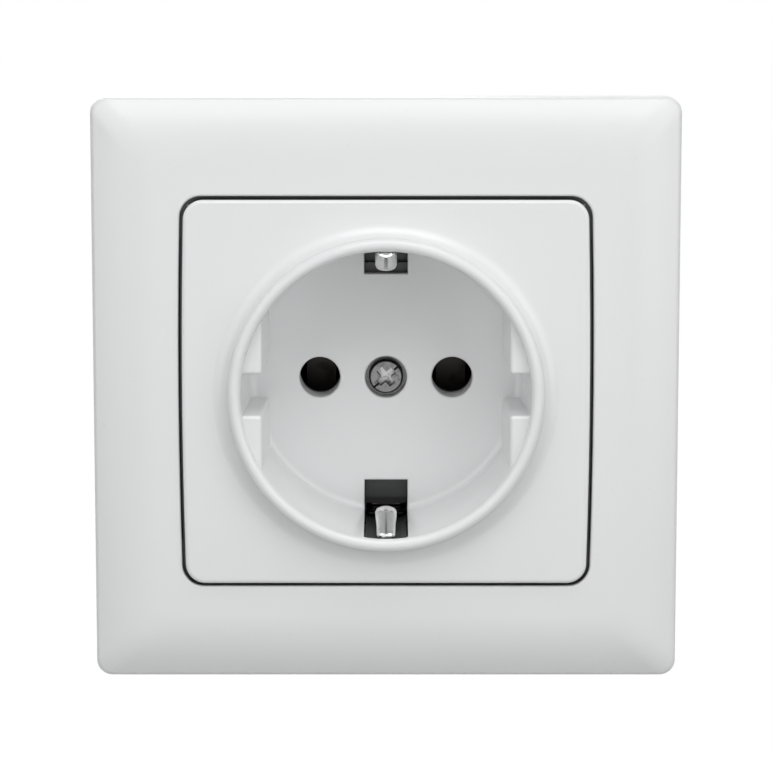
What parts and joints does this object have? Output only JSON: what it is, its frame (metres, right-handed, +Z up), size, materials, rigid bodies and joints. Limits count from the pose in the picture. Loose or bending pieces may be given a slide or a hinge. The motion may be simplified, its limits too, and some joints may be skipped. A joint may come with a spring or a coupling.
{
  "type": "flush wall socket outlet",
  "caption": "Square flush wall socket outlet with a round recessed well, two pin holes and side earthing springs, on a steel support plate with spreader claws.",
  "frame": {"origin": "the socket's axis on the wall plane, midway between the two box screws", "axes": "+X to the right and +Z up as the socket hangs on the wall, +Y into the wall; the face looks along -Y"},
  "size_m": [0.082, 0.0407, 0.082],
  "materials": {
    "frame_white": "satin",
    "plate_white": "satin",
    "dark_insulator": "matte",
    "base_grey": "matte",
    "zinc_steel": "satin",
    "screw_steel": "satin",
    "spring_metal": "bright",
    "brass": "satin"
  },
  "bodies": {
    "socket": {"cover_frame": "frame_white", "centre_plate": "plate_white", "centre_screw": "screw_steel", "support_plate": "zinc_steel", "contact_cap": "dark_insulator", "socket_base": "base_grey", "screw_bush": "brass", "earth_strap": "spring_metal", "live_contact": "brass", "neutral_contact": "brass", "live_clamp": "brass", "neutral_clamp": "brass", "earth_clamp": "brass", "live_terminal_screw": "screw_steel", "neutral_terminal_screw": "screw_steel", "earth_terminal_screw": "screw_steel", "claw_pin_left": "screw_steel", "claw_pin_right": "screw_steel", "claw_screw_left": "screw_steel", "claw_screw_right": "screw_steel", "cap_screws": "screw_steel", "yoke_screws": "screw_steel"},
    "claw_left": {"claw_left": "zinc_steel"},
    "claw_right": {"claw_right": "zinc_steel"}
  },
  "joints": [
    {"name": "claw_left_spread", "type": "hinge", "parent": "socket", "child": "claw_left", "pos_m": [-0.0178, 0.0155, -0.008], "axis": [0, 0, 1], "range_deg": [0, 22]},
    {"name": "claw_right_spread", "type": "hinge", "parent": "socket", "child": "claw_right", "pos_m": [0.0178, 0.0155, 0.008], "axis": [0, 0, -1], "range_deg": [0, 22]}
  ]
}
